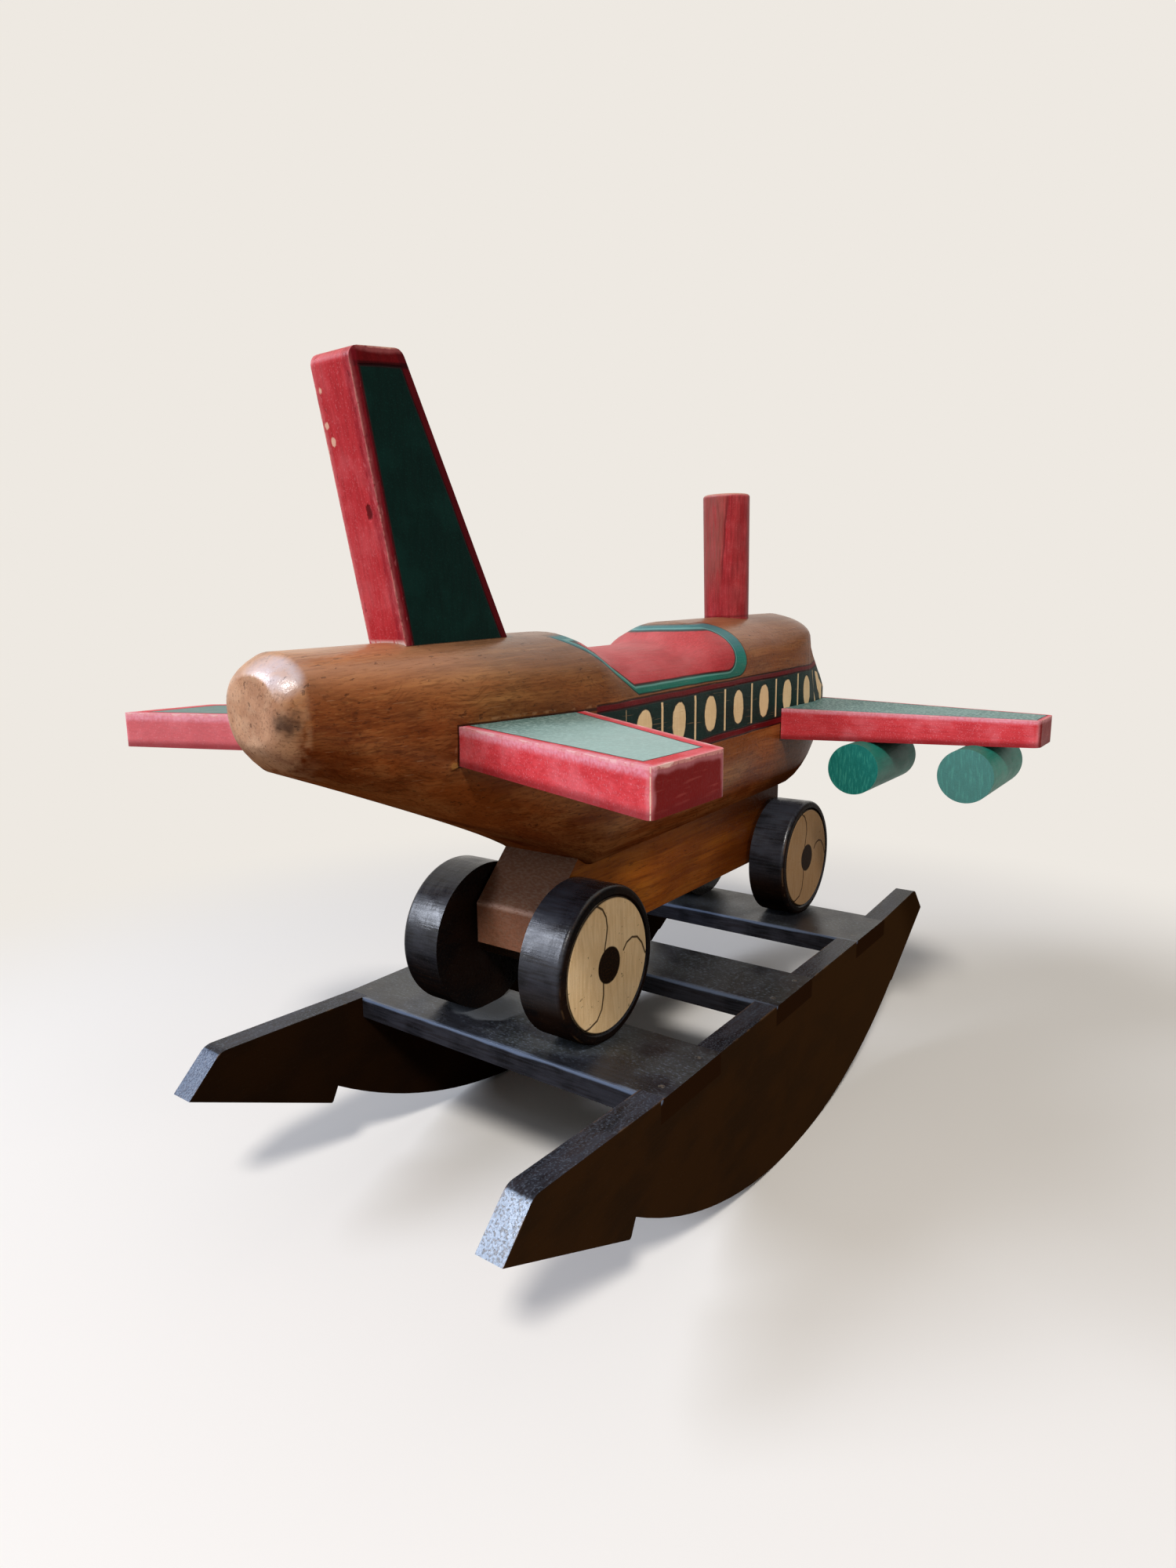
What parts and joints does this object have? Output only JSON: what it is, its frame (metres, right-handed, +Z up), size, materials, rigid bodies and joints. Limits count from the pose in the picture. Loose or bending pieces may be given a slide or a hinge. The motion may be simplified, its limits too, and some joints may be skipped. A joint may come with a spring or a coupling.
{
  "type": "wooden rocking airplane",
  "caption": "Ride-on wooden airplane with a saddle and handle peg, standing on wheels on a two-runner rocker.",
  "frame": {"origin": "middle of the whole toy's length and width, on the floor under it", "axes": "+X to the nose, +Y to the port side (left of a rider facing the nose), +Z up"},
  "size_m": [0.719, 0.572, 0.5906],
  "materials": {
    "body_varnish": "honey brown stain under worn gloss varnish",
    "keel_varnish": "dull brown stain",
    "peg_paint": "faded crimson paint, worn to the grain",
    "fin_paint": "faded crimson paint with a dark green panel",
    "stabiliser_paint": "weathered teal paint with a crimson border",
    "wing_paint": "weathered teal paint with a crimson border",
    "engine_paint": "teal paint",
    "wheel_paint": "satin black paint with a cream disc",
    "axle_paint": "satin black paint",
    "rocker_paint": "satin black paint, worn brown on the faces",
    "plank_paint": "satin black paint, scuffed",
    "dowel_wood": "bare beech",
    "screw_steel": "plain steel",
    "nail_steel": "plain steel"
  },
  "bodies": {
    "root": {"fuselage": "body_varnish", "keel_block": "keel_varnish", "handle_peg": "peg_paint", "tail_fin": "fin_paint", "left_stabiliser": "stabiliser_paint", "right_stabiliser": "stabiliser_paint", "left_wing": "wing_paint", "right_wing": "wing_paint", "left_outer_engine": "engine_paint", "left_inner_engine": "engine_paint", "right_inner_engine": "engine_paint", "right_outer_engine": "engine_paint", "front_left_wheel": "wheel_paint", "front_right_wheel": "wheel_paint", "rear_left_wheel": "wheel_paint", "rear_right_wheel": "wheel_paint", "front_axle": "axle_paint", "rear_axle": "axle_paint", "left_rocker": "rocker_paint", "right_rocker": "rocker_paint", "front_plank": "plank_paint", "middle_plank": "plank_paint", "rear_plank": "plank_paint", "fin_dowels": "dowel_wood", "stabiliser_dowels": "dowel_wood", "wing_dowels": "dowel_wood", "engine_dowels": "dowel_wood", "keel_screws": "screw_steel", "axle_screws": "screw_steel", "wheel_screws": "screw_steel", "plank_nails": "nail_steel"}
  },
  "joints": []
}
